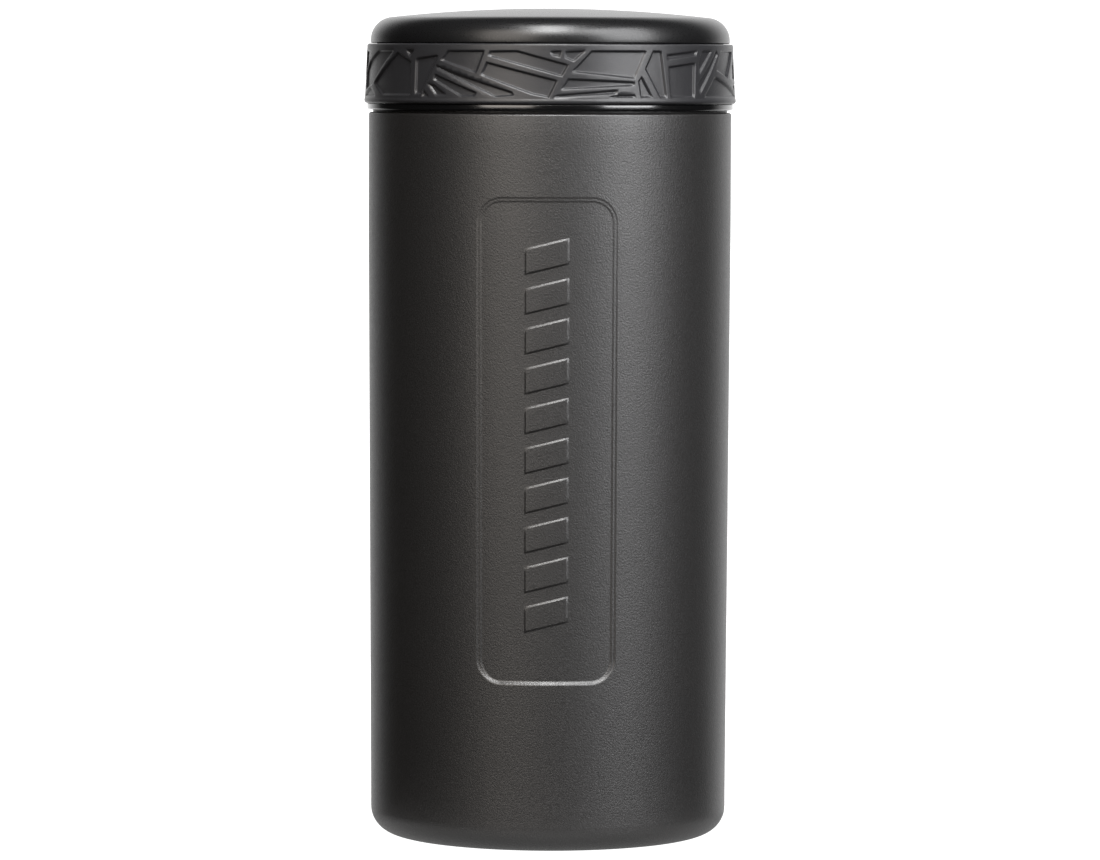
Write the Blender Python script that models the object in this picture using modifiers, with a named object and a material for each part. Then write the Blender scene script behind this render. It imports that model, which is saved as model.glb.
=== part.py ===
"""Slim screw-lid storage canister, sized for a bicycle bottle cage.

The canister stands on z = 0 with its axis on the world Z axis and its recessed
front panel facing -Y. The lid is shown screwed down. All sizes are in
millimetres and are turned into metres where the meshes are made.
"""

import math

import bmesh
import bpy
from mathutils import Matrix, Vector

MM = 0.001
COLLECTION = "storage_canister"
GAP = 0.3                      # clearance kept between neighbouring pieces
SEGMENTS = 64                  # facets round every turned piece
ARC_STEP = math.radians(31)    # largest turn between two points of a filleted corner
SMALL_ROUND = 0.5              # a rounding below this is a single chamfer

# Canister body
BASE_FILLET = 5.4
FOOT_RADIUS = 36.2             # outer wall where the base fillet ends
WALL_RADIUS = 36.85            # outer wall at its widest
TAPER_TOP = 124.0              # the wall tapers below this height
SHOULDER_Z = 147.0
SHOULDER_ROUND = 0.45
STEP_RADIUS = 36.0             # a low step on the shoulder, inside the lid's flange
STEP_HEIGHT = 0.6
WALL = 2.2
FLOOR = 2.6
BASE_DISH_RADIUS = 25.0        # shallow dish under the base, so it stands on a ring
BASE_DISH_DEPTH = 0.8
NECK_RADIUS = 30.4             # outside of the neck, at the root of its thread
NECK_BORE = 28.4
NECK_TOP = 161.5

# Recessed front panel
PANEL_WIDTH = 27.0
PANEL_BOTTOM = 34.1
PANEL_TOP = 130.1
PANEL_CORNER = 4.7
PANEL_DEPTH = 0.45
PANEL_OFFSET = -0.5            # the panel's middle lies this far along X

# Screw thread, right-handed with several starts
STARTS = 3
PITCH = 4.0
LEAD = STARTS * PITCH
THREAD_DEPTH = 1.3
THREAD_ROOT_WIDTH = 2.0
THREAD_CREST_WIDTH = 0.9
THREAD_EMBED = 0.5             # how far a ridge runs into the wall it stands on
NECK_THREAD = (151.0, 159.2)   # heights of a ridge's middle at its two ends
RING_THREAD = (150.6, 155.4)

# Lid
CROWN_TOP = 168.1
CROWN_RADIUS = 36.5
CROWN_ROUND = 4.65             # rounding of the crown's shoulder
CROWN_ROUND_Z = 161.65         # height of that rounding's centre
CROWN_EDGE_TILT = math.radians(6.3)   # slope of the dome where the shoulder starts
DOME_STEPS = 5
SHOULDER_STEPS = 5
CROWN_BOTTOM = 161.2           # underside of the crown's rim, above the grip band
CROWN_WALL = 1.8
SKIRT_RADIUS = 35.1
SKIRT_BORE = 33.7
RING_RADIUS = SKIRT_BORE - GAP
RING_BORE = NECK_RADIUS + THREAD_DEPTH + GAP
FLANGE_RADIUS = 37.2
FLANGE_BOTTOM = 147.55
FLANGE_TOP = 148.55
FLANGE_RECESS = STEP_RADIUS + GAP      # the flange's underside clears the shoulder's step
RECESS_TOP = SHOULDER_Z + STEP_HEIGHT + GAP
WEB_BORE = 27.0                # opening in the ring's inward web, above the seal
WEB_BOTTOM = 163.1
WEB_TOP = 164.2
SEAL_OUTER = RING_BORE - GAP
SEAL_INNER = 28.0
SEAL_BOTTOM = NECK_TOP + GAP
SEAL_TOP = WEB_BOTTOM - GAP

# Grip band
BAND_BORE = SKIRT_RADIUS + GAP
BAND_BOTTOM = FLANGE_TOP + GAP
BAND_TOP = CROWN_BOTTOM - GAP
BAND_TOP_RADIUS = 37.15
BAND_FIELD_TOP_RADIUS = 36.85  # floor of the field between the two rails
BAND_FIELD_FOOT_RADIUS = 37.2
BAND_LIP_RADIUS = 37.85
TOP_RAIL = 1.45
BOTTOM_RAIL = 1.35
FIELD_BEVEL = 0.3


def fillet(corners, closed=False):
    """Points of a profile whose corners (radius, height, rounding) are rounded by arcs.

    An open profile's two ends keep their corners. A rounding under SMALL_ROUND is a chamfer.
    """
    points = []
    count = len(corners)
    for i, (r, z, rounding) in enumerate(corners):
        here = Vector((r, z))
        if rounding == 0 or (not closed and i in (0, count - 1)):
            points.append(here)
            continue
        before = (Vector(corners[i - 1][:2]) - here).normalized()
        after = (Vector(corners[(i + 1) % count][:2]) - here).normalized()
        half = before.angle(after) / 2
        centre = here + (before + after).normalized() * (rounding / math.sin(half))
        spoke = here + before * (rounding / math.tan(half)) - centre
        sweep = math.pi - 2 * half
        steps = 1 if rounding < SMALL_ROUND else max(2, math.ceil(sweep / ARC_STEP))
        turn = math.copysign(sweep / steps, after.x * before.y - after.y * before.x)
        for k in range(steps + 1):
            points.append(centre + Matrix.Rotation(turn * k, 2) @ spoke)
    return points


def material(name, colour, roughness):
    """A plain plastic or rubber."""
    mat = bpy.data.materials.new(name)
    mat.use_nodes = True
    shader = mat.node_tree.nodes["Principled BSDF"]
    shader.inputs["Base Color"].default_value = (*colour, 1)
    shader.inputs["Roughness"].default_value = roughness
    shader.inputs["Metallic"].default_value = 0
    return mat


def new_object(name, mesh, collection, mat=None):
    obj = bpy.data.objects.new(name, mesh)
    collection.objects.link(obj)
    if mat is not None:
        mesh.materials.append(mat)
    return obj


def make_cutter(obj):
    obj.hide_render = True
    obj.display_type = "WIRE"
    return obj


def turned(name, points, closed, collection, mat=None):
    """A profile of (radius, height) points spun about Z by a Screw modifier.

    The profile runs down the piece's outer side, so its faces point outwards.
    """
    mesh = bpy.data.meshes.new(name)
    vertices = [(p[0] * MM, 0, p[1] * MM) for p in points]
    edges = [(i, i + 1) for i in range(len(points) - 1)]
    if closed:
        edges.append((len(points) - 1, 0))
    mesh.from_pydata(vertices, edges, [])
    obj = new_object(name, mesh, collection, mat)
    screw = obj.modifiers.new("turn", "SCREW")
    screw.axis = "Z"
    screw.steps = SEGMENTS
    screw.render_steps = SEGMENTS
    screw.use_merge_vertices = True
    screw.merge_threshold = 0.00001
    return obj


def boolean(obj, other, operation):
    modifier = obj.modifiers.new(other.name, "BOOLEAN")
    modifier.operation = operation
    modifier.solver = "EXACT"
    modifier.object = other
    return modifier


def shade_round(obj):
    """Smooth shading on the round surfaces, with the edges left sharp."""
    finished = bpy.data.meshes.new_from_object(
        obj.evaluated_get(bpy.context.evaluated_depsgraph_get())
    )
    obj.modifiers.clear()
    obj.data = finished
    obj.data.shade_smooth()
    obj.data.set_sharp_from_angle(angle=math.radians(30))


def thread_ridges(name, radius, outward, heights, collection):
    """The helical ridges of a screw thread as one cutter mesh, one ridge for each start.

    radius is the wall's. Ridges point out of a neck or into a ring's bore.
    """
    way = 1 if outward else -1
    low, high = heights
    turn = (high - low) / LEAD * 2 * math.pi
    steps = max(8, round(turn / (2 * math.pi) * SEGMENTS))
    root = radius - way * THREAD_EMBED
    crest = radius + way * THREAD_DEPTH
    section = [
        (root, -THREAD_ROOT_WIDTH / 2),
        (crest, -THREAD_CREST_WIDTH / 2),
        (crest, THREAD_CREST_WIDTH / 2),
        (root, THREAD_ROOT_WIDTH / 2),
    ]
    bm = bmesh.new()
    for start in range(STARTS):
        # A helix that every start of both threads lies on passes its ridge's height
        # at this angle, so a lid on its joint's path keeps its ridges between the neck's.
        phase = 2 * math.pi * (start / STARTS + low / LEAD)
        if not outward:
            phase += math.pi / STARTS
        place = Matrix.Rotation(phase, 4, "Z") @ Matrix.Translation((0, 0, low * MM))
        corners = [bm.verts.new(place @ Vector((r * MM, 0, z * MM))) for r, z in section]
        face = bm.faces.new(corners)
        bmesh.ops.spin(
            bm,
            geom=[face, *face.edges, *face.verts],
            axis=(0, 0, 1),
            angle=turn,
            steps=steps,
            dvec=(0, 0, (high - low) * MM / steps),
        )
    bmesh.ops.recalc_face_normals(bm, faces=bm.faces)
    mesh = bpy.data.meshes.new(name)
    bm.to_mesh(mesh)
    bm.free()
    return make_cutter(new_object(name, mesh, collection))


def outer_radius(z):
    """Outer radius of the canister's wall above its base fillet."""
    share = min(1.0, (z - BASE_FILLET) / (TAPER_TOP - BASE_FILLET))
    return FOOT_RADIUS + (WALL_RADIUS - FOOT_RADIUS) * share


def panel_cutter(collection):
    """A thin curved slab with a rounded-rectangle outline, cutting the front panel's recess."""
    curve = bpy.data.curves.new("panel_outline", "CURVE")
    curve.dimensions = "2D"
    curve.fill_mode = "BOTH"
    curve.extrude = 10 * MM
    half_width = PANEL_WIDTH / 2 - PANEL_CORNER
    half_height = (PANEL_TOP - PANEL_BOTTOM) / 2 - PANEL_CORNER
    centres = [(1, 1), (-1, 1), (-1, -1), (1, -1)]
    arc_steps = 6
    points = []
    for quarter, (sx, sy) in enumerate(centres):
        for k in range(arc_steps + 1):
            angle = (quarter + k / arc_steps) * math.pi / 2
            points.append((
                sx * half_width + PANEL_CORNER * math.cos(angle),
                sy * half_height + PANEL_CORNER * math.sin(angle),
            ))
    spline = curve.splines.new("POLY")
    spline.points.add(len(points) - 1)
    for point, (x, y) in zip(spline.points, points):
        point.co = (x * MM, y * MM, 0, 1)
    spline.use_cyclic_u = True
    outline = bpy.data.objects.new("panel_outline", curve)
    collection.objects.link(outline)
    outline.location = (PANEL_OFFSET * MM, -36 * MM, (PANEL_TOP + PANEL_BOTTOM) / 2 * MM)
    outline.rotation_euler = (math.pi / 2, 0, 0)
    bpy.context.view_layer.update()
    mesh = bpy.data.meshes.new_from_object(
        outline.evaluated_get(bpy.context.evaluated_depsgraph_get())
    )
    bm = bmesh.new()
    bm.from_mesh(mesh)
    bmesh.ops.remove_doubles(bm, verts=bm.verts, dist=0.00001)
    bmesh.ops.recalc_face_normals(bm, faces=bm.faces)
    bm.to_mesh(mesh)
    bm.free()
    slab = make_cutter(new_object("panel_slab", mesh, collection))
    slab.matrix_world = outline.matrix_world
    bpy.data.objects.remove(outline)
    core_points = [
        (0, PANEL_TOP + 8),
        (outer_radius(PANEL_TOP + 8) - PANEL_DEPTH, PANEL_TOP + 8),
        (outer_radius(TAPER_TOP) - PANEL_DEPTH, TAPER_TOP),
        (outer_radius(PANEL_BOTTOM - 8) - PANEL_DEPTH, PANEL_BOTTOM - 8),
        (0, PANEL_BOTTOM - 8),
    ]
    core = make_cutter(turned("panel_core", core_points, False, collection))
    boolean(slab, core, "DIFFERENCE")
    return slab


def canister_body(parts, cutters, mat):
    """The moulded tub: dished base, tapering wall, stepped shoulder and threaded neck."""
    inner_foot = FOOT_RADIUS - WALL
    inner_wall = WALL_RADIUS - WALL
    step_z = SHOULDER_Z + STEP_HEIGHT
    profile = fillet([
        (0, FLOOR, 0),
        (inner_foot, FLOOR, BASE_FILLET - WALL),
        (inner_wall, TAPER_TOP, 0),
        (inner_wall, SHOULDER_Z - WALL - 2.5, 2.0),
        (NECK_BORE, SHOULDER_Z - WALL + 1.6, 2.5),
        (NECK_BORE, NECK_TOP, 0.8),
        (NECK_RADIUS, NECK_TOP, 0.8),
        (NECK_RADIUS, step_z, 0.6),
        (STEP_RADIUS, step_z, 0),
        (STEP_RADIUS, SHOULDER_Z, 0),
        (WALL_RADIUS, SHOULDER_Z, SHOULDER_ROUND),
        (WALL_RADIUS, TAPER_TOP, 0),
        (FOOT_RADIUS, 0, BASE_FILLET),
        (BASE_DISH_RADIUS, 0, 0),
        (BASE_DISH_RADIUS - 1.5, BASE_DISH_DEPTH, 0),
        (0, BASE_DISH_DEPTH, 0),
    ])
    body = turned("canister_body", profile, False, parts, mat)
    ridges = thread_ridges("neck_thread", NECK_RADIUS, True, NECK_THREAD, cutters)
    boolean(body, ridges, "UNION")
    boolean(body, panel_cutter(cutters), "DIFFERENCE")
    return body


def crown_profile():
    """Outer profile of the crown: a low dome that runs smoothly into a rounded shoulder."""
    centre_radius = CROWN_RADIUS - CROWN_ROUND
    dome_edge = centre_radius + CROWN_ROUND * math.sin(CROWN_EDGE_TILT)
    edge_z = CROWN_ROUND_Z + CROWN_ROUND * math.cos(CROWN_EDGE_TILT)
    points = []
    for k in range(DOME_STEPS):
        share = k / DOME_STEPS
        points.append((dome_edge * share, CROWN_TOP - (CROWN_TOP - edge_z) * share ** 2, 0))
    for k in range(SHOULDER_STEPS + 1):
        angle = CROWN_EDGE_TILT + (math.pi / 2 - CROWN_EDGE_TILT) * k / SHOULDER_STEPS
        points.append((
            centre_radius + CROWN_ROUND * math.sin(angle),
            CROWN_ROUND_Z + CROWN_ROUND * math.cos(angle),
            0,
        ))
    return points


def lid_shell(parts, mat):
    """The outer cap: crown over the grip band, and a thin skirt that the band sits on."""
    ceiling = CROWN_TOP - CROWN_WALL
    corner = ceiling - 1.6
    profile = fillet([
        *crown_profile(),
        (CROWN_RADIUS, CROWN_BOTTOM, 0.3),
        (SKIRT_RADIUS, CROWN_BOTTOM, 0),
        (SKIRT_RADIUS, FLANGE_TOP + GAP, 0),
        (SKIRT_BORE, FLANGE_TOP + GAP, 0),
        (SKIRT_BORE, corner, 1.2),
        (27.0, ceiling - 1.1, 0),
        (14.0, ceiling - 0.3, 0),
        (0, ceiling, 0),
    ])
    return turned("lid_shell", profile, False, parts, mat)


def lid_thread_ring(parts, cutters, mat):
    """The liner inside the lid: internal thread, web over the seal, and the bottom flange."""
    profile = fillet([
        (RING_RADIUS, WEB_TOP, 0.6),
        (RING_RADIUS, FLANGE_TOP, 0),
        (FLANGE_RADIUS, FLANGE_TOP, 0),
        (FLANGE_RADIUS, FLANGE_BOTTOM, 0.6),
        (FLANGE_RECESS, FLANGE_BOTTOM, 0),
        (FLANGE_RECESS, RECESS_TOP, 0),
        (RING_BORE, RECESS_TOP, 0.4),
        (RING_BORE, WEB_BOTTOM, 0),
        (WEB_BORE, WEB_BOTTOM, 0),
        (WEB_BORE, WEB_TOP, 0),
    ], closed=True)
    ring = turned("lid_thread_ring", profile, True, parts, mat)
    ridges = thread_ridges("ring_thread", RING_BORE, False, RING_THREAD, cutters)
    boolean(ring, ridges, "UNION")
    return ring


def lid_seal(parts, mat):
    """The flat sealing ring between the neck's lip and the lid."""
    edge = 0.25
    profile = fillet([
        (SEAL_OUTER, SEAL_TOP, edge),
        (SEAL_OUTER, SEAL_BOTTOM, edge),
        (SEAL_INNER, SEAL_BOTTOM, edge),
        (SEAL_INNER, SEAL_TOP, edge),
    ], closed=True)
    return turned("lid_seal", profile, True, parts, mat)


def grip_band(parts, mat):
    """The rubber sleeve round the lid: a field between a thin top rail and a bottom lip."""
    field_top = BAND_TOP - TOP_RAIL
    field_foot = BAND_BOTTOM + BOTTOM_RAIL
    profile = fillet([
        (BAND_TOP_RADIUS, BAND_TOP, 0.35),
        (BAND_TOP_RADIUS + 0.08, field_top, 0),
        (BAND_FIELD_TOP_RADIUS, field_top - FIELD_BEVEL, 0),
        (BAND_FIELD_FOOT_RADIUS, field_foot + FIELD_BEVEL, 0),
        (BAND_LIP_RADIUS - 0.15, field_foot, 0),
        (BAND_LIP_RADIUS, BAND_BOTTOM, 0.6),
        (BAND_BORE, BAND_BOTTOM, 0),
        (BAND_BORE, BAND_TOP, 0),
    ], closed=True)
    return turned("grip_band", profile, True, parts, mat)


def main():
    for obj in list(bpy.data.objects):
        bpy.data.objects.remove(obj)
    parts = bpy.data.collections.new(COLLECTION)
    cutters = bpy.data.collections.new("cutters")
    bpy.context.scene.collection.children.link(parts)
    bpy.context.scene.collection.children.link(cutters)

    body_plastic = material("body_plastic", (0.045, 0.043, 0.043), 0.42)
    lid_plastic = material("lid_plastic", (0.014, 0.014, 0.016), 0.38)
    ring_plastic = material("ring_plastic", (0.010, 0.010, 0.011), 0.22)
    grip_rubber = material("grip_rubber", (0.055, 0.055, 0.058), 0.62)
    seal_silicone = material("seal_silicone", (0.20, 0.20, 0.20), 0.55)

    pieces = [
        canister_body(parts, cutters, body_plastic),
        lid_shell(parts, lid_plastic),
        lid_thread_ring(parts, cutters, ring_plastic),
        lid_seal(parts, seal_silicone),
        grip_band(parts, grip_rubber),
    ]
    bpy.context.view_layer.update()
    for piece in pieces:
        shade_round(piece)


main()
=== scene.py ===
"""Looks of the screw-lid storage canister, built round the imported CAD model.

Sizes are in millimetres (turned into metres by MM where meshes are made) and come
from the frame's boxes where it has them. Angles on the wall and the grip band are
degrees round the axis from the front, -Y, positive towards +X.
"""

import math

import bmesh
import bpy
import numpy as np
from mathutils import Matrix, Vector
from mathutils.geometry import delaunay_2d_cdt


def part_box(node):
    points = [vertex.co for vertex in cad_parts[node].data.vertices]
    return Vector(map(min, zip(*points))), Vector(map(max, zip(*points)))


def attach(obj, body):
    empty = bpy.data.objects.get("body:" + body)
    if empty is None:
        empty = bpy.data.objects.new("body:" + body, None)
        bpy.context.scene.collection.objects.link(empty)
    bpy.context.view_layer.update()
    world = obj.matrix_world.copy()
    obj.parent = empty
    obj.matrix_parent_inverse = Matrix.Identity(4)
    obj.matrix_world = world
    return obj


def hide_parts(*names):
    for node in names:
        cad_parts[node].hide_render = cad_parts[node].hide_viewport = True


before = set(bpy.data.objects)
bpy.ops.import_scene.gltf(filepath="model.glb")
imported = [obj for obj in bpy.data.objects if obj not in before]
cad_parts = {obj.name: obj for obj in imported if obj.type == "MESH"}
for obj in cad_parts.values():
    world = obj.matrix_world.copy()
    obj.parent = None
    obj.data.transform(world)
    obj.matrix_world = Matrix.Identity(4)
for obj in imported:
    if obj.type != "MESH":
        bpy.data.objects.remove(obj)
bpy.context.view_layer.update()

MM = 0.001
COLUMNS = 240                  # columns of faces round each turned piece
WELD = 2e-6                    # vertices nearer than this are made one, in metres
GRID_GAP = 0.2                 # a grid's points keep this far from a shape's own lines


# --------------------------------------------------------------------------
# Sizes read from the frame

def box_mm(node):
    low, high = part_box(node)
    return [v / MM for v in low], [v / MM for v in high]


_, body_high = box_mm("canister_body")
shell_low, shell_high = box_mm("lid_shell")
ring_low, ring_high = box_mm("lid_thread_ring")
seal_low, seal_high = box_mm("lid_seal")
band_low, band_high = box_mm("grip_band")

WALL_RADIUS = body_high[0]
NECK_TOP = body_high[2]
CROWN_RADIUS = shell_high[0]
CROWN_TOP = shell_high[2]
SKIRT_FOOT = shell_low[2]
FLANGE_RADIUS = ring_high[0]
FLANGE_BOTTOM = ring_low[2]
RING_TOP = ring_high[2]
BAND_FOOT = band_low[2]
BAND_TOP = band_high[2]
LIP_RADIUS = band_high[0]
SEAL_RADIUS = seal_high[0]
SEAL_BOTTOM = seal_low[2]
SEAL_TOP = seal_high[2]

# Canister body
FOOT_RADIUS = 36.2
BASE_FILLET = 5.4
BASE_RING_BORE = 25.0          # inner edge of the flat ring that the canister stands on
DISH_RADIUS = 23.5             # where the dish inside that ring reaches its depth
DISH_DEPTH = 0.8
TAPER_TOP = 124.0              # the wall widens up to here
SHOULDER_Z = 147.0
WALL = 2.2
FLOOR = 2.6
NECK_RADIUS = 30.4
NECK_BORE = 28.4
STEP_RADIUS = 36.0             # a low step on the shoulder, inside the lid's flange
STEP_Z = SHOULDER_Z + 0.6

# Front panel
PANEL_OFFSET = -0.5            # of its middle from the front, measured round the wall
PANEL_HALF_WIDTH = 13.75       # measured the same way
PANEL_BOTTOM = 34.1
PANEL_TOP = 130.1
PANEL_CORNER = 4.7
PANEL_FOOT_DEPTH = 0.42        # deepest at its foot
PANEL_TOP_DEPTH = 0.13
PANEL_STEP = 1.25              # width of the double step round the panel
PANEL_LEDGE = 0.2              # share of that width that is a level ledge
PANEL_FOOT_STEP = 0.95         # width of the single step along its lower edge
PATCH_ANGLE = 27.0             # half the width of the wall's patch that holds the panel
PATCH_LOW = 30.0
PATCH_HIGH = 134.0
PATCH_ROW = 2.0                # height of the patch's rows of faces
WALL_SCALE = math.pi / 180 * 36.6      # distance round the wall for a degree, at the patch

# Slanted bars raised from the panel's floor
BAR_COUNT = 10
BAR_BOTTOM = 44.0              # lowest point of the first bar
BAR_PITCH = 7.9
BAR_HALF_WIDTH = 4.5
BAR_SIDE = 5.4                 # length of a bar's upright sides
BAR_SLANT = 2.2
BAR_HEIGHT = 0.2               # how far a bar stands out
BAR_SLOPE = 0.5                # width of the slope round a bar

# Thread, right-handed, with the heights between which each part's ridges run
STARTS = 3
PITCH = 4.0
LEAD = STARTS * PITCH
THREAD_DEPTH = 1.3
NECK_THREAD = (151.0, 159.2)
RING_THREAD = (150.6, 155.4)

# Lid
CROWN_ROUND = 4.65             # radius of the crown's rounded edge
CROWN_ROUND_Z = 161.65         # height of that rounding's centre
CROWN_EDGE_TILT = math.radians(6.3)    # slope of the dome where the rounding starts
CROWN_WALL = 1.8
SKIRT_RADIUS = 35.1
SKIRT_BORE = 33.7
LINER_BORE = 32.0
WEB_BORE = 27.0                # hole in the liner's web, which covers the seal
WEB_THICKNESS = 1.1
SEAL_BORE = 28.0
SEAL_CROWN = 0.12              # how far the seal's faces are crowned

# Grip band: its heights, from FIELD_LOW to CELL_FOOT, are above the band's foot
FIELD_LOW = 0.72               # the field that holds the cells
FIELD_HIGH = 11.35
LIP_START = 3.9                # below this the band swells into its lower lip
CELL_FOOT = 1.55               # lowest point of a cell's outline
BAND_TOP_RADIUS = 37.16
BAND_MIDDLE_RADIUS = 37.52     # at LIP_START
FLARE_HEIGHT = 8.0             # height over which the radius changes from one to the other
LIP_FLARE = 0.15               # what that slope adds to the radius of the lip
BEAD = 0.08                    # how far the lip's bead stands out
BEAD_SLOPE = 0.5               # height of the bead's upper slope
CELL_DEPTH = 0.42
CELL_FLOOR_EDGE = 0.13         # how far inside its outline a cell's flat floor starts
RIB_CROWN = 0.52               # width over which a rib rounds up from a cell's floor
RIB_POWER = 2.0                # how quickly it does so: more is steeper at the floor
FLOOR_CORNER = 0.05            # softness of the corner between a floor and a rib
BAND_SEAM = -88.5              # angle where the two copies of the cells meet
BAND_SCALE = math.pi / 180 * 37.4      # distance round the band for a degree

# Floor
FLOOR_Z = -0.05                # just below the base, so that the two don't coincide


# --------------------------------------------------------------------------
# Profiles

def fillet(corners, closed=False, arc_step=12):
    """Points of a profile whose corners (radius, height, rounding) are rounded by arcs."""
    points = []
    count = len(corners)
    for i, (r, z, rounding) in enumerate(corners):
        here = Vector((r, z))
        if rounding == 0 or (not closed and i in (0, count - 1)):
            points.append(here)
            continue
        before = (Vector(corners[i - 1][:2]) - here).normalized()
        after = (Vector(corners[(i + 1) % count][:2]) - here).normalized()
        half = before.angle(after) / 2
        centre = here + (before + after).normalized() * (rounding / math.sin(half))
        spoke = here + before * (rounding / math.tan(half)) - centre
        sweep = math.pi - 2 * half
        steps = max(3, math.ceil(sweep / math.radians(arc_step)))
        turn = math.copysign(sweep / steps, after.x * before.y - after.y * before.x)
        for k in range(steps + 1):
            points.append(centre + Matrix.Rotation(turn * k, 2) @ spoke)
    return points


def on_axis(angle, radius, z):
    """The point at an angle (degrees from the front), a radius and a height."""
    a = math.radians(angle)
    return Vector((radius * math.sin(a) * MM, -radius * math.cos(a) * MM, z * MM))


def revolve(bm, profile, closed=False, columns=COLUMNS):
    """Turns a profile that runs down the outer side into quads, with fans at the axis."""
    rings = []
    for r, z in profile:
        if r < 1e-6:
            rings.append([bm.verts.new((0, 0, z * MM))])
        else:
            rings.append([
                bm.verts.new(on_axis(360 * c / columns - 180, r, z)) for c in range(columns)
            ])
    pairs = list(zip(rings, rings[1:]))
    if closed:
        pairs.append((rings[-1], rings[0]))
    for upper, lower in pairs:
        for c in range(columns):
            d = (c + 1) % columns
            if len(upper) == 1:
                bm.faces.new((upper[0], lower[c], lower[d]))
            elif len(lower) == 1:
                bm.faces.new((upper[c], lower[0], upper[d]))
            else:
                bm.faces.new((upper[c], lower[c], lower[d], upper[d]))


# --------------------------------------------------------------------------
# Relief: shapes raised from or sunk into a turned wall

def smooth_step(t):
    t = np.clip(t, 0, 1)
    return t * t * (3 - 2 * t)


def bevel(t):
    """A straight slope with short roundings at its foot and its top."""
    soft = 0.22
    t = np.clip(t, 0, 1)
    low = t * t / (2 * soft)
    high = 1 - soft - (1 - t) ** 2 / (2 * soft)
    middle = t - soft / 2
    return np.where(t < soft, low, np.where(t > 1 - soft, high, middle)) / (1 - soft)


def spread_outline(points, distance):
    """A counterclockwise convex outline moved outwards, its sharp tips by a limited length."""
    longest_tip = distance * 2
    spread = []
    for before, here, after in zip(points[-1:] + points[:-1], points, points[1:] + points[:1]):
        first = (here - before) / np.linalg.norm(here - before)
        second = (after - here) / np.linalg.norm(after - here)
        out = np.array((first[1] + second[1], -first[0] - second[0]))
        out /= np.linalg.norm(out)
        slope = out @ np.array((first[1], -first[0]))
        spread.append(here + out * min(distance / slope, longest_tip))
    return spread


class ConvexShape:
    """A convex outline in the unrolled wall with a relief that depends on the distance to it.

    profile turns distances outwards from the outline into relief. levels are the
    distances, outermost first, where the mesh gets a line of its own.
    """

    def __init__(self, points, profile, levels):
        area = sum(a[0] * b[1] - b[0] * a[1] for a, b in zip(points, points[1:] + points[:1]))
        self.points = [np.array(p, float) for p in (points if area > 0 else points[::-1])]
        self.profile = profile
        self.levels = levels
        self.sides = list(zip(self.points, self.points[1:] + self.points[:1]))

    def outside(self, p):
        """Each point's distance outwards from the outline, negative inside it."""
        beyond = np.full(len(p), -np.inf)
        away = np.full(len(p), np.inf)
        for a, b in self.sides:
            length = np.linalg.norm(b - a)
            along = (b - a) / length
            beyond = np.maximum(beyond, (p - a) @ np.array((along[1], -along[0])))
            nearest = a + np.clip((p - a) @ along, 0, length)[:, None] * along
            away = np.minimum(away, np.linalg.norm(p - nearest, axis=1))
        return np.where(beyond > 0, away, beyond)

    def relief(self, p):
        return self.profile(self.outside(p))

    def loop(self, level):
        """The outline moved to a level, or None where nothing is left of it."""
        if level > 0:
            return spread_outline(self.points, level)
        ring = list(self.points)
        for a, b in self.sides:
            along = (b - a) / np.linalg.norm(b - a)
            depth = [(q - a) @ np.array((-along[1], along[0])) + level for q in ring]
            kept = []
            for i, q in enumerate(ring):
                j = (i + 1) % len(ring)
                if depth[i] >= 0:
                    kept.append(q)
                if depth[i] * depth[j] < 0:
                    share = depth[i] / (depth[i] - depth[j])
                    kept.append(q + share * (ring[j] - q))
            ring = kept
            if len(ring) < 3:
                return None
        return ring

    def loops(self):
        found = [self.loop(level) for level in self.levels]
        return [ring for ring in found if ring is not None]

    def near_side(self, p):
        d = self.outside(p)
        return (d > min(self.levels) - GRID_GAP) & (d < max(self.levels) + GRID_GAP)


class PanelShape:
    """The rounded rectangle of the front panel, sunk by a double step that turns into a
    single one along its foot. The floor is deepest at the foot."""

    def __init__(self):
        self.centre = np.array((PANEL_OFFSET, (PANEL_TOP + PANEL_BOTTOM) / 2))
        self.half = np.array((PANEL_HALF_WIDTH, (PANEL_TOP - PANEL_BOTTOM) / 2))

    def outside(self, p):
        q = np.abs(p - self.centre) - (self.half - PANEL_CORNER)
        away = np.linalg.norm(np.maximum(q, 0), axis=-1)
        return away + np.minimum(np.max(q, axis=-1), 0) - PANEL_CORNER

    def relief(self, p):
        share = np.clip((p[:, 1] - PANEL_BOTTOM) / (PANEL_TOP - PANEL_BOTTOM), 0, 1)
        depth = PANEL_FOOT_DEPTH + (PANEL_TOP_DEPTH - PANEL_FOOT_DEPTH) * share
        above = smooth_step((p[:, 1] - PANEL_BOTTOM) / PANEL_CORNER)
        width = PANEL_FOOT_STEP + (PANEL_STEP - PANEL_FOOT_STEP) * above
        t = 0.5 - self.outside(p) / width
        riser = (1 - PANEL_LEDGE) / 2
        single = smooth_step(t)
        double = (smooth_step(t / riser) + smooth_step((t - 1) / riser + 1)) / 2
        return -depth * (single + (double - single) * above)

    def loops(self):
        lines = 12
        arc_steps = 10
        rings = []
        for k in range(-lines // 2, lines // 2 + 1):
            radius = PANEL_CORNER + PANEL_STEP * k / lines
            ring = []
            for quarter, (sx, sy) in enumerate([(1, 1), (-1, 1), (-1, -1), (1, -1)]):
                corner = self.centre + np.array((sx, sy)) * (self.half - PANEL_CORNER)
                for step in range(arc_steps + 1):
                    a = (quarter + step / arc_steps) * math.pi / 2
                    ring.append(corner + radius * np.array((math.cos(a), math.sin(a))))
            rings.append(ring)
        return rings

    def near_side(self, p):
        return np.abs(self.outside(p)) < PANEL_STEP


def subdivided(ring, longest):
    """A closed outline with points added along its sides."""
    points = []
    for a, b in zip(ring, ring[1:] + ring[:1]):
        parts = max(1, math.ceil(np.linalg.norm(b - a) / longest))
        points.extend(a + (b - a) * k / parts for k in range(parts))
    return points


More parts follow.
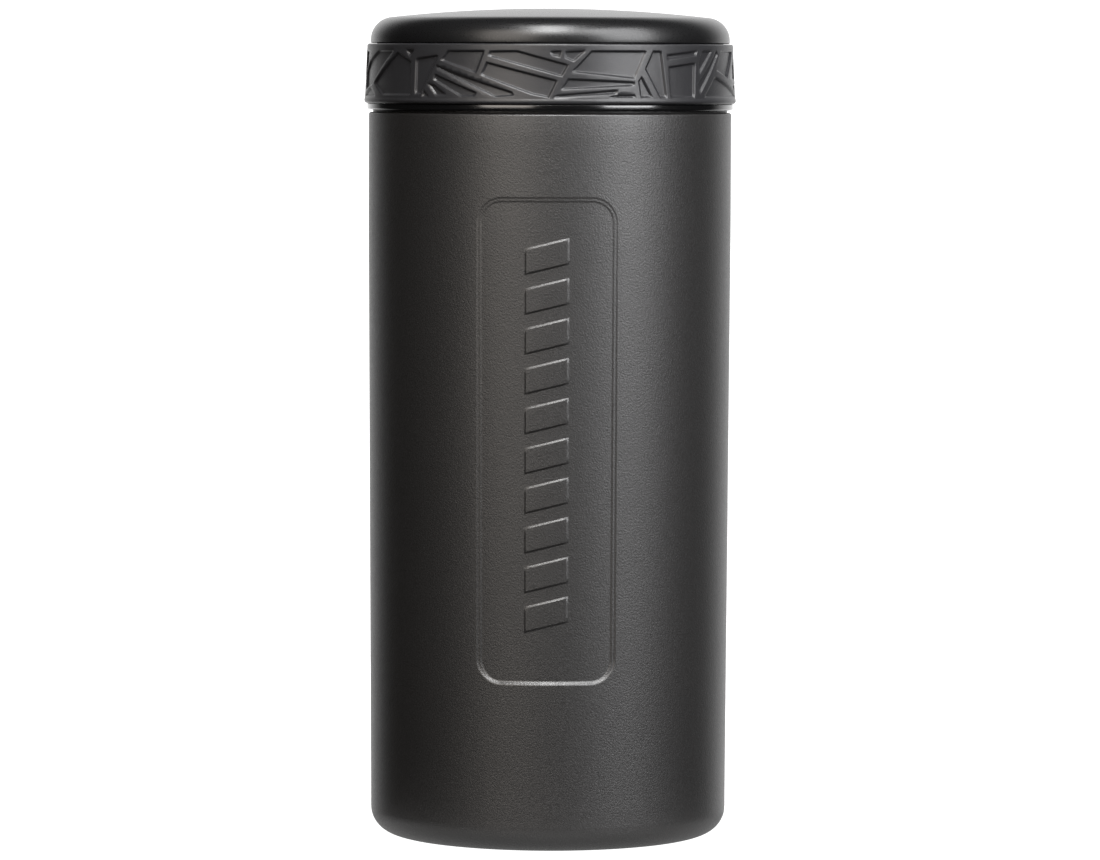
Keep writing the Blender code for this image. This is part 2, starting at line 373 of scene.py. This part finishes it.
def relief_mesh(bm, angles, heights, scale, shapes, radius_at, longest, finer=1):
    """A patch of wall with shapes on it, triangulated along their sides.

    angles and heights are the patch's edge points, and its grid has finer times as many
    columns inside it. scale turns degrees into distance round the wall. radius_at gives
    the plain wall's radius. longest limits the steps along the shapes' sides. Each vertex
    keeps its exact normal.
    """
    columns = [a * scale for a in angles]
    perimeter = [(s, heights[0]) for s in columns[:-1]]
    perimeter += [(columns[-1], z) for z in heights[:-1]]
    perimeter += [(s, heights[-1]) for s in reversed(columns[1:])]
    perimeter += [(columns[0], z) for z in reversed(heights[1:])]
    points = [Vector(p) for p in perimeter]
    edges = [(i, (i + 1) % len(points)) for i in range(len(points))]
    inner = np.linspace(columns[0], columns[-1], (len(columns) - 1) * finer + 1)[1:-1]
    grid = np.array([(s, z) for s in inner for z in heights[1:-1]])
    clear = np.ones(len(grid), bool)
    for shape in shapes:
        clear &= ~shape.near_side(grid)
    points += [Vector(p) for p in grid[clear]]
    for shape in shapes:
        for ring in shape.loops():
            ring = subdivided(ring, longest)
            first = len(points)
            points += [Vector(p) for p in ring]
            edges += [(first + i, first + (i + 1) % len(ring)) for i in range(len(ring))]
    nearest = 1e-5             # points nearer than this are taken as one
    flat, _, faces, *_ = delaunay_2d_cdt(points, edges, [], 0, nearest)

    def surface(p):
        relief = sum(shape.relief(p) for shape in shapes)
        radius = radius_at(p[:, 1]) + relief
        angle = p[:, 0] / scale * math.pi / 180
        return np.stack((radius * np.sin(angle), -radius * np.cos(angle), p[:, 1]), axis=1)

    p = np.array([tuple(v) for v in flat])
    nudge = 0.01               # distance over which the surface's slopes are measured
    along = surface(p + (nudge, 0)) - surface(p - (nudge, 0))
    up = surface(p + (0, nudge)) - surface(p - (0, nudge))
    normals = np.cross(along, up)
    normals /= np.linalg.norm(normals, axis=1)[:, None]
    layer = bm.verts.layers.float_vector["exact_normal"]
    verts = []
    for q, n in zip(surface(p), normals):
        verts.append(bm.verts.new(q * MM))
        verts[-1][layer] = n
    for face in faces:
        bm.faces.new([verts[i] for i in face])


def new_piece():
    """An empty mesh whose vertices can hold an exact normal."""
    bm = bmesh.new()
    bm.verts.layers.float_vector.new("exact_normal")
    return bm


def finish_mesh(name, bm):
    """Welds the parts of a piece, makes its faces point out and shades it smooth."""
    bmesh.ops.remove_doubles(bm, verts=bm.verts, dist=WELD)
    bmesh.ops.recalc_face_normals(bm, faces=bm.faces)
    mesh = bpy.data.meshes.new(name)
    bm.to_mesh(mesh)
    bm.free()
    mesh.shade_smooth()
    # An exact normal has a length of 1, and 0 where none was stored
    exact = [Vector(d.vector) for d in mesh.attributes["exact_normal"].data]
    if any(e.length > 0.5 for e in exact):
        normals = [
            e if e.length > 0.5 else v.normal for e, v in zip(exact, mesh.vertices)
        ]
        mesh.normals_split_custom_set_from_vertices(normals)
    mesh.attributes.remove(mesh.attributes["exact_normal"])
    obj = bpy.data.objects.new(name, mesh)
    bpy.context.scene.collection.objects.link(obj)
    return obj


# --------------------------------------------------------------------------
# Thread

def thread_ridges(bm, radius, outward, heights):
    """The rounded helical ridges of a thread, one for each start, fading out at both ends."""
    way = 1 if outward else -1
    low, high = heights
    turn = (high - low) / LEAD * 360
    steps = round(turn / 360 * COLUMNS)
    fade = 12                  # steps over which a ridge grows to its full depth
    least = 0.02               # share of that depth at its very ends
    # A ridge's cross-section: depth as a share of THREAD_DEPTH, and height
    section = [(-0.45, -1.0), (0, -1.0), (0.62, -0.72), (0.92, -0.52), (1.0, -0.3)]
    section += [(d, -w) for d, w in reversed(section)]
    for start in range(STARTS):
        phase = 360 * (start / STARTS + low / LEAD) + 90
        if not outward:
            phase += 180 / STARTS      # halfway between the other thread's ridges
        rings = []
        for k in range(steps + 1):
            growth = math.sin(math.pi / 2 * min(1, k / fade, (steps - k) / fade))
            growth = growth * (1 - least) + least
            z = low + (high - low) * k / steps
            ring = []
            for depth, width in section:
                out = depth * (THREAD_DEPTH if depth < 0 else THREAD_DEPTH * growth)
                ring.append(bm.verts.new(
                    on_axis(phase + turn * k / steps, radius + way * out, z + width)
                ))
            rings.append(ring)
        for a, b in zip(rings, rings[1:]):
            for i in range(len(section)):
                j = (i + 1) % len(section)
                bm.faces.new((a[i], a[j], b[j], b[i]))
        bm.faces.new(rings[0])
        bm.faces.new(rings[-1])


# --------------------------------------------------------------------------
# Materials

def node_material(name, colour, roughness, ior=1.46):
    """A Principled material, its shader, and a helper that adds and wires a node."""
    mat = bpy.data.materials.new(name)
    mat.use_nodes = True
    nodes = mat.node_tree.nodes
    links = mat.node_tree.links
    shader = nodes["Principled BSDF"]
    shader.inputs["Base Color"].default_value = (*colour, 1)
    shader.inputs["Roughness"].default_value = roughness
    shader.inputs["IOR"].default_value = ior

    def add(kind, **inputs):
        node = nodes.new(kind)
        for key, value in inputs.items():
            socket = node.inputs[key.replace("_", " ")]
            if isinstance(value, bpy.types.NodeSocket):
                links.new(value, socket)
            else:
                socket.default_value = value
        return node

    return mat, shader, add, links


def moulded_plastic(name, colour, second, roughness, grain, grain_depth, spread=0.05, ior=1.46):
    """Moulded plastic: two close tones in soft clouds, a fine spark-eroded grain and
    patches where the grain is a little shinier. grain is the noise's scale, grain_depth
    its height in millimetres, and spread how far the roughness goes either way."""
    mat, shader, add, links = node_material(name, colour, roughness, ior)
    where = add("ShaderNodeTexCoord").outputs["Object"]
    clouds = add("ShaderNodeTexNoise", Vector=where, Scale=38.0, Detail=3.0)
    tone = add("ShaderNodeMix")
    tone.data_type = "RGBA"
    tone.inputs["A"].default_value = (*colour, 1)
    tone.inputs["B"].default_value = (*second, 1)
    links.new(clouds.outputs["Fac"], tone.inputs["Factor"])
    links.new(tone.outputs["Result"], shader.inputs["Base Color"])
    fine = add("ShaderNodeTexNoise", Vector=where, Scale=grain, Detail=2.0, Roughness=0.55)
    shine = add(
        "ShaderNodeMapRange",
        Value=fine.outputs["Fac"],
        From_Min=0.3,
        From_Max=0.7,
        To_Min=roughness - spread,
        To_Max=roughness + spread,
    )
    links.new(shine.outputs["Result"], shader.inputs["Roughness"])
    bump = add("ShaderNodeBump", Height=fine.outputs["Fac"], Strength=1.0, Distance=grain_depth * MM)
    links.new(bump.outputs["Normal"], shader.inputs["Normal"])
    return mat


def rubber(name, colour, second, roughness):
    """Grip rubber: matte with a dusty bloom, finer and softer than the plastic."""
    return moulded_plastic(
        name, colour, second, roughness, grain=3600.0, grain_depth=0.02, spread=0.06
    )


# --------------------------------------------------------------------------
# Canister body

def wall_radius(z):
    share = np.clip((z - BASE_FILLET) / (TAPER_TOP - BASE_FILLET), 0, 1)
    return FOOT_RADIUS + (WALL_RADIUS - FOOT_RADIUS) * share


def raised_bar(d):
    return BAR_HEIGHT * bevel(-d / BAR_SLOPE)


def ornament():
    """A column of plain slanted bars raised from the panel's floor."""
    left = PANEL_OFFSET - BAR_HALF_WIDTH
    right = PANEL_OFFSET + BAR_HALF_WIDTH
    levels = [-BAR_SLOPE * k / 4 for k in range(5)]
    shapes = []
    for k in range(BAR_COUNT):
        low = BAR_BOTTOM + BAR_PITCH * k
        outline = [
            (left, low),
            (right, low + BAR_SLANT),
            (right, low + BAR_SLANT + BAR_SIDE),
            (left, low + BAR_SIDE),
        ]
        shapes.append(ConvexShape(outline, raised_bar, levels))
    return shapes


def canister_body():
    bm = new_piece()
    lower_rows = 6             # between the base's rounding and the patch
    upper_row = 4.0            # height of the rows above the patch
    rows = [
        BASE_FILLET + (PATCH_LOW - BASE_FILLET) * k / lower_rows for k in range(1, lower_rows)
    ]
    patch_count = round((PATCH_HIGH - PATCH_LOW) / PATCH_ROW)
    patch_rows = [PATCH_LOW + PATCH_ROW * k for k in range(patch_count + 1)]
    rows += patch_rows
    rows += [PATCH_HIGH + upper_row, PATCH_HIGH + 2 * upper_row]
    outer = fillet([
        (STEP_RADIUS, SHOULDER_Z, 0),
        (WALL_RADIUS, SHOULDER_Z, 0.4),
        (WALL_RADIUS, rows[-1], 0),
    ])[:-1]
    outer += [Vector((wall_radius(z), z)) for z in reversed(rows)]
    foot = fillet([
        (wall_radius(rows[0]), rows[0], 0),
        (FOOT_RADIUS, 0, BASE_FILLET),
        (BASE_RING_BORE, 0, 0.8),
        (DISH_RADIUS, DISH_DEPTH, 0.8),
        (0, DISH_DEPTH, 0),
    ], arc_step=6)[1:]
    inner_foot = FOOT_RADIUS - WALL
    inner_wall = WALL_RADIUS - WALL
    under_shoulder = SHOULDER_Z - WALL     # the inside slopes up to the neck across this
    inside = fillet([
        (0, FLOOR, 0),
        (inner_foot, FLOOR, BASE_FILLET - WALL),
        (inner_wall, TAPER_TOP, 0),
        (inner_wall, under_shoulder - 2.5, 2.0),
        (NECK_BORE, under_shoulder + 1.6, 2.5),
        (NECK_BORE, NECK_TOP, 0.8),
        (NECK_RADIUS, NECK_TOP, 0.8),
        (NECK_RADIUS, STEP_Z, 0.6),
        (STEP_RADIUS, STEP_Z, 0.12),
        (STEP_RADIUS, SHOULDER_Z, 0),
    ])[:-1]
    revolve(bm, inside + outer + foot)
    under_patch = []           # faces of the plain wall that the patch takes the place of
    for face in bm.faces:
        centre = face.calc_center_median() / MM
        angle = math.degrees(math.atan2(centre.x, -centre.y))
        outer_side = math.hypot(centre.x, centre.y) > inner_wall + WALL / 2
        if abs(angle) < PATCH_ANGLE and PATCH_LOW < centre.z < PATCH_HIGH and outer_side:
            under_patch.append(face)
    bmesh.ops.delete(bm, geom=under_patch, context="FACES")
    columns = round(PATCH_ANGLE * 2 / 360 * COLUMNS)
    angles = [-PATCH_ANGLE + 2 * PATCH_ANGLE * k / columns for k in range(columns + 1)]
    shapes = [PanelShape(), *ornament()]
    relief_mesh(bm, angles, patch_rows, WALL_SCALE, shapes, wall_radius, longest=1.2)
    thread_ridges(bm, NECK_RADIUS, True, NECK_THREAD)
    body = finish_mesh("body_moulding", bm)
    body.data.materials.append(moulded_plastic(
        "smoke_grey_plastic", (0.0092, 0.0086, 0.0083), (0.0075, 0.0072, 0.0072),
        roughness=0.43, grain=3000.0, grain_depth=0.05, ior=1.62,
    ))
    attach(body, "canister")
    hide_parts("canister_body")


# --------------------------------------------------------------------------
# Lid

def lid_crown():
    centre_radius = CROWN_RADIUS - CROWN_ROUND
    dome_edge = centre_radius + CROWN_ROUND * math.sin(CROWN_EDGE_TILT)
    edge_z = CROWN_ROUND_Z + CROWN_ROUND * math.cos(CROWN_EDGE_TILT)
    dome_steps = 16
    round_steps = 20
    profile = []
    for k in range(dome_steps):
        share = k / dome_steps
        fall = (CROWN_TOP - edge_z) * share ** 2
        profile.append(Vector((dome_edge * share, CROWN_TOP - fall)))
    for k in range(round_steps + 1):
        angle = CROWN_EDGE_TILT + (math.pi / 2 - CROWN_EDGE_TILT) * k / round_steps
        profile.append(Vector((
            centre_radius + CROWN_ROUND * math.sin(angle),
            CROWN_ROUND_Z + CROWN_ROUND * math.cos(angle),
        )))
    brim = BAND_TOP + 0.1      # the crown's underside, just clear of the band
    ceiling = CROWN_TOP - CROWN_WALL
    # Corners of the inside, which follows the dome: radius, fall from the ceiling, rounding
    inside = [(SKIRT_BORE, 1.6, 1.2), (27.0, 1.1, 3.0), (14.0, 0.3, 3.0), (0, 0, 0)]
    profile += fillet([
        (CROWN_RADIUS, CROWN_ROUND_Z - 0.1, 0),
        (CROWN_RADIUS, brim, 0.25),
        (SKIRT_RADIUS, brim, 0.2),
        (SKIRT_RADIUS, SKIRT_FOOT, 0.2),
        (SKIRT_BORE, SKIRT_FOOT, 0.2),
        *((r, ceiling - fall, rounding) for r, fall, rounding in inside),
    ])
    bm = new_piece()
    revolve(bm, profile)
    crown = finish_mesh("lid_crown", bm)
    crown.data.materials.append(moulded_plastic(
        "black_lid_plastic", (0.0045, 0.0045, 0.0048), (0.0036, 0.0036, 0.0038),
        roughness=0.30, grain=4800.0, grain_depth=0.006, spread=0.04,
    ))
    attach(crown, "lid")
    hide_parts("lid_shell")


def lid_liner():
    gap = 0.3                  # to the skirt outside it and to the shoulder's step below
    web_bottom = RING_TOP - WEB_THICKNESS
    flange_top = BAND_FOOT - 0.06      # just clear of the band, and lower towards the skirt
    profile = fillet([
        (SKIRT_BORE - gap, RING_TOP, 0.6),
        (SKIRT_BORE - gap, BAND_FOOT - 0.3, 0.2),
        (FLANGE_RADIUS, flange_top, 0.12),
        (FLANGE_RADIUS, FLANGE_BOTTOM, 0.45),
        (STEP_RADIUS + gap, FLANGE_BOTTOM, 0.12),
        (STEP_RADIUS + gap, STEP_Z + gap, 0.1),
        (LINER_BORE, STEP_Z + gap, 0.4),
        (LINER_BORE, web_bottom, 0.3),
        (WEB_BORE, web_bottom, 0.3),
        (WEB_BORE, RING_TOP, 0.3),
    ], closed=True)
    bm = new_piece()
    revolve(bm, profile, closed=True)
    thread_ridges(bm, LINER_BORE, False, RING_THREAD)
    liner = finish_mesh("lid_liner", bm)
    liner.data.materials.append(moulded_plastic(
        "black_ring_plastic", (0.003, 0.003, 0.0032), (0.0024, 0.0024, 0.0026),
        roughness=0.16, grain=3000.0, grain_depth=0.001, spread=0.03, ior=1.75,
    ))
    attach(liner, "lid")
    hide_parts("lid_thread_ring")


def seal_ring():
    middle = (SEAL_RADIUS + SEAL_BORE) / 2
    profile = fillet([
        (SEAL_RADIUS, SEAL_TOP - SEAL_CROWN, 0.2),
        (SEAL_RADIUS, SEAL_BOTTOM + SEAL_CROWN, 0.2),
        (middle, SEAL_BOTTOM, 2.0),
        (SEAL_BORE, SEAL_BOTTOM + SEAL_CROWN, 0.2),
        (SEAL_BORE, SEAL_TOP - SEAL_CROWN, 0.2),
        (middle, SEAL_TOP, 2.0),
    ], closed=True)
    bm = new_piece()
    revolve(bm, profile, closed=True)
    ring = finish_mesh("seal_ring", bm)
    ring.data.materials.append(rubber(
        "silicone", (0.19, 0.19, 0.192), (0.16, 0.16, 0.163), roughness=0.5
    ))
    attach(ring, "lid_lift")
    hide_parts("lid_seal")


# --------------------------------------------------------------------------
# Grip band: a web of straight ribs round recessed cells. Each cell is a convex outline
# of (degrees, millimetres above the band's foot), and the set repeats at the back.

CELLS = [
    [(-87.5, 10.5), (-77, 10.5), (-80.5, 7.9), (-87.5, 5.1)],
    [(-67.5, 10.5), (-58, 10.5), (-73.5, 3.9), (-82.5, 3.0), (-82.5, 6.1), (-77, 8.3)],
    [(-75, 3.1), (-84, 1.5), (-70, 1.5)],
    [(-55, 10.1), (-48.3, 8.4), (-48, 1.9), (-63.9, 1.9), (-70.5, 4.1)],
    [(-50.2, 10.6), (-47, 10.6), (-48.7, 9.5)],
    [(-45.6, 8.9), (-36.9, 9.6), (-43.5, 2.1), (-45.6, 2.1)],
    [(-41.9, 2.6), (-40.6, 1.6), (-42.5, 1.6)],
    [(-40, 3.9), (-38, 3.7), (-34, 2.0), (-37, 1.8)],
    [(-33, 10.5), (-35.4, 8.8), (-23.2, 6.4), (-20.8, 10.5)],
    [(-36.6, 7.3), (-11.8, 2.4), (-11.3, 1.9), (-16.6, 1.6)],
    [(-37.6, 5.8), (-23.2, 2.3), (-23.5, 1.8), (-28, 1.7), (-38, 4.9)],
    [(-18.5, 10.4), (-10.2, 10.5), (5.3, 7.8), (3.4, 5.7), (-19, 9.7)],
    [(-19.6, 8.2), (1.9, 4.7), (-0.5, 1.4), (-5.6, 2.2), (-21.3, 5.9)],
    [(0.2, 10.4), (3.2, 10.5), (2.7, 9.5), (0.8, 9.8)],
    [(4.9, 10.4), (10.3, 10.5), (7.1, 8.7), (4.8, 9.3)],
    [(12.8, 10.5), (30.6, 10.5), (26.5, 5.3), (7, 6.6)],
    [(33.4, 10.5), (36.2, 10.5), (37.8, 1.5), (35.6, 1.4), (30.6, 7.1)],
    [(29, 5.4), (32.4, 1.6), (28.8, 1.4), (28.1, 4.6)],
    [(5.6, 5.0), (26.2, 4.4), (26.2, 3.9), (3.6, 3.1)],
    [(2.4, 1.8), (20.6, 2.8), (20.4, 2.3), (1.7, 1.2)],
    [(18.9, 1.5), (26.2, 1.9), (26.5, 1.4), (19.2, 1.1)],
    [(38.8, 9.8), (51.8, 10.6), (51.2, 9.9), (38.8, 9.1)],
    [(39.3, 7.4), (50.6, 8.2), (49.8, 1.5), (39.9, 1.5)],
    [(54.8, 10.6), (60.2, 10.6), (52.9, 6.3), (52.8, 8.1)],
    [(63.6, 10.6), (64.4, 9.8), (52.8, 2.3), (52.2, 4.2)],
    [(62, 5.4), (84, 1.6), (55.6, 1.5)],
    [(67.2, 10.5), (80, 10.5), (72.2, 5.5), (63.8, 6.9)],
    [(86.5, 10.5), (90.7, 10.5), (90.7, 5.1), (83, 4.7), (76.4, 5.5)],
    [(80.5, 3.9), (90.7, 3.7), (90.7, 1.5), (87, 1.5)],
]


def band_radius(z):
    """Radius over the ribs: a slight flare downwards that swells into the lower lip."""
    h = z - BAND_FOOT
    flare = BAND_TOP_RADIUS - BAND_MIDDLE_RADIUS
    plain = BAND_MIDDLE_RADIUS + flare * (h - LIP_START) / FLARE_HEIGHT
    swell = smooth_step((LIP_START - h) / (LIP_START - FIELD_LOW))
    bead = BEAD * smooth_step((FIELD_LOW + BEAD_SLOPE - h) / BEAD_SLOPE)
    return plain + (LIP_RADIUS - BAND_MIDDLE_RADIUS - LIP_FLARE - BEAD) * swell + bead


def cell_relief(d):
    """A cell's flat floor, and the rounded flank of a rib that rises from it."""
    rise = d + CELL_FLOOR_EDGE
    rise = (rise + np.sqrt(rise ** 2 + FLOOR_CORNER ** 2)) / 2
    return -CELL_DEPTH * np.clip(1 - rise / RIB_CROWN, 0, 1) ** RIB_POWER


def grip_band():
    top_radius = float(band_radius(np.array(BAND_FOOT + FIELD_HIGH)))
    lip_radius = float(band_radius(np.array(BAND_FOOT + FIELD_LOW)))
    bore = SKIRT_RADIUS + 0.05     # just clear of the skirt
    bm = new_piece()
    profile = fillet([
        (lip_radius, BAND_FOOT + FIELD_LOW, 0),
        (lip_radius, BAND_FOOT, 0.6),
        (bore, BAND_FOOT, 0.1),
        (bore, BAND_TOP, 0.1),
        (top_radius - 0.02, BAND_TOP, 0.42),
        (top_radius, BAND_FOOT + FIELD_HIGH, 0),
    ])
    revolve(bm, profile)
    bead_rows = 6
    field_rows = 20
    rows = [BAND_FOOT + FIELD_LOW + BEAD_SLOPE * k / bead_rows for k in range(bead_rows + 1)]
    rows += list(np.linspace(rows[-1], BAND_FOOT + FIELD_HIGH, field_rows + 1)[1:])
    angles = [360 * k / COLUMNS + BAND_SEAM for k in range(COLUMNS + 1)]
    levels = [0.38, 0.2, 0.08, -0.02, -0.1, -0.17, -0.26]
    shapes = []
    for shift in (0, 180):
        for cell in CELLS:
            outline = [
                ((a + shift) * BAND_SCALE, BAND_FOOT + max(h, CELL_FOOT)) for a, h in cell
            ]
            shapes.append(ConvexShape(outline, cell_relief, levels))
    relief_mesh(bm, angles, rows, BAND_SCALE, shapes, band_radius, longest=0.8, finer=2)
    band = finish_mesh("rubber_band", bm)
    band.data.materials.append(rubber(
        "grip_rubber", (0.0165, 0.0165, 0.018), (0.013, 0.013, 0.0142), roughness=0.38
    ))
    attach(band, "lid")
    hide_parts("grip_band")


# --------------------------------------------------------------------------
# Stage, light and camera

def area_light(name, azimuth, elevation, distance, width, height, power, colour=(1, 1, 1)):
    """A softbox that faces the canister's middle, its azimuth and elevation in degrees, with
    azimuth counted from the front. Sizes are in metres and power in watts."""
    data = bpy.data.lights.new(name, "AREA")
    data.shape = "RECTANGLE"
    data.size = width
    data.size_y = height
    data.energy = power
    data.color = colour
    light = bpy.data.objects.new(name, data)
    bpy.context.scene.collection.objects.link(light)
    a, e = math.radians(azimuth), math.radians(elevation)
    centre = Vector((0, 0, CROWN_TOP * MM / 2))
    toward = Vector((math.sin(a) * math.cos(e), -math.cos(a) * math.cos(e), math.sin(e)))
    light.location = centre + toward * distance
    light.rotation_euler = toward.to_track_quat("Z", "Y").to_euler()
    light.visible_camera = False


def stage():
    """A pale floor to look at, and a dimmer patch of it to show in reflections."""
    for name, radius, grey, glow, roughness, seen in (
        ("floor", 900.0, 0.35, 1.0, 0.9, True),
        ("floor_bounce", 50.0, 0.25, 0.56, 0.35, False),
    ):
        mat, shader, _, _ = node_material(name, (grey, grey, grey), roughness)
        shader.inputs["Emission Color"].default_value = (1, 1, 1, 1)
        shader.inputs["Emission Strength"].default_value = glow
        bm = bmesh.new()
        revolve(bm, [(radius, FLOOR_Z), (0, FLOOR_Z)], columns=96)
        bmesh.ops.recalc_face_normals(bm, faces=bm.faces)
        mesh = bpy.data.meshes.new(name)
        bm.to_mesh(mesh)
        bm.free()
        mesh.materials.append(mat)
        floor = bpy.data.objects.new(name, mesh)
        bpy.context.scene.collection.objects.link(floor)
        floor.visible_camera = seen
        floor.visible_glossy = not seen
        floor.visible_diffuse = not seen


def studio():
    """A white room to look at, of which only a screen behind the canister lights it."""
    swing = math.radians(5)    # how far the screen's middle is turned towards +X
    bright = math.cos(math.radians(20))    # it is at its brightest within this angle
    edge = math.cos(math.radians(53))      # and at its dimmest beyond this one
    brightest = 1.45
    dimmest = 0.012
    world = bpy.data.worlds.new("studio")
    bpy.context.scene.world = world
    world.use_nodes = True
    nodes = world.node_tree.nodes
    links = world.node_tree.links
    direction = nodes.new("ShaderNodeTexCoord")
    toward_screen = nodes.new("ShaderNodeVectorMath")
    toward_screen.operation = "DOT_PRODUCT"
    links.new(direction.outputs["Generated"], toward_screen.inputs[0])
    toward_screen.inputs[1].default_value = (math.sin(swing), math.cos(swing), 0)
    screen = nodes.new("ShaderNodeMapRange")
    screen.interpolation_type = "SMOOTHSTEP"
    links.new(toward_screen.outputs["Value"], screen.inputs["Value"])
    screen.inputs["From Min"].default_value = edge
    screen.inputs["From Max"].default_value = bright
    screen.inputs["To Min"].default_value = dimmest
    screen.inputs["To Max"].default_value = brightest
    path = nodes.new("ShaderNodeLightPath")
    seen = nodes.new("ShaderNodeMath")
    seen.operation = "MAXIMUM"
    links.new(path.outputs["Is Camera Ray"], seen.inputs[0])
    links.new(screen.outputs["Result"], seen.inputs[1])
    links.new(seen.outputs[0], nodes["Background"].inputs["Color"])


def lights():
    area_light("left_softbox", -27, 25, 1.0, 0.6, 0.84, 6.8, (1.0, 0.925, 0.85))
    area_light("right_softbox", 50, 29, 1.0, 0.63, 0.96, 18.7, (0.985, 0.985, 1.0))
    area_light("front_top_softbox", 0, 55, 1.2, 0.34, 0.70, 18.3)
    area_light("front_fill", 10, 40, 1.2, 0.9, 0.5, 5.6)


def camera():
    """Eye level near the top of the canister, looking slightly down, with a long lens."""
    place = (0.0002, -1.19898, 0.15771)    # metres
    tilt = math.radians(3.6)
    roll = 0.0033              # radians
    data = bpy.data.cameras.new("camera")
    data.sensor_width = 36.0
    data.lens = 192.6
    data.clip_start = 0.05
    data.clip_end = 50.0
    cam = bpy.data.objects.new("camera", data)
    bpy.context.scene.collection.objects.link(cam)
    cam.location = place
    cam.rotation_mode = "QUATERNION"
    aim = Matrix.Rotation(math.pi / 2 - tilt, 3, "X") @ Matrix.Rotation(roll, 3, "Z")
    cam.rotation_quaternion = aim.to_quaternion()
    bpy.context.scene.camera = cam


camera()
stage()
studio()
lights()
canister_body()
lid_crown()
lid_liner()
seal_ring()
grip_band()
bpy.context.scene.view_settings.view_transform = "Standard"
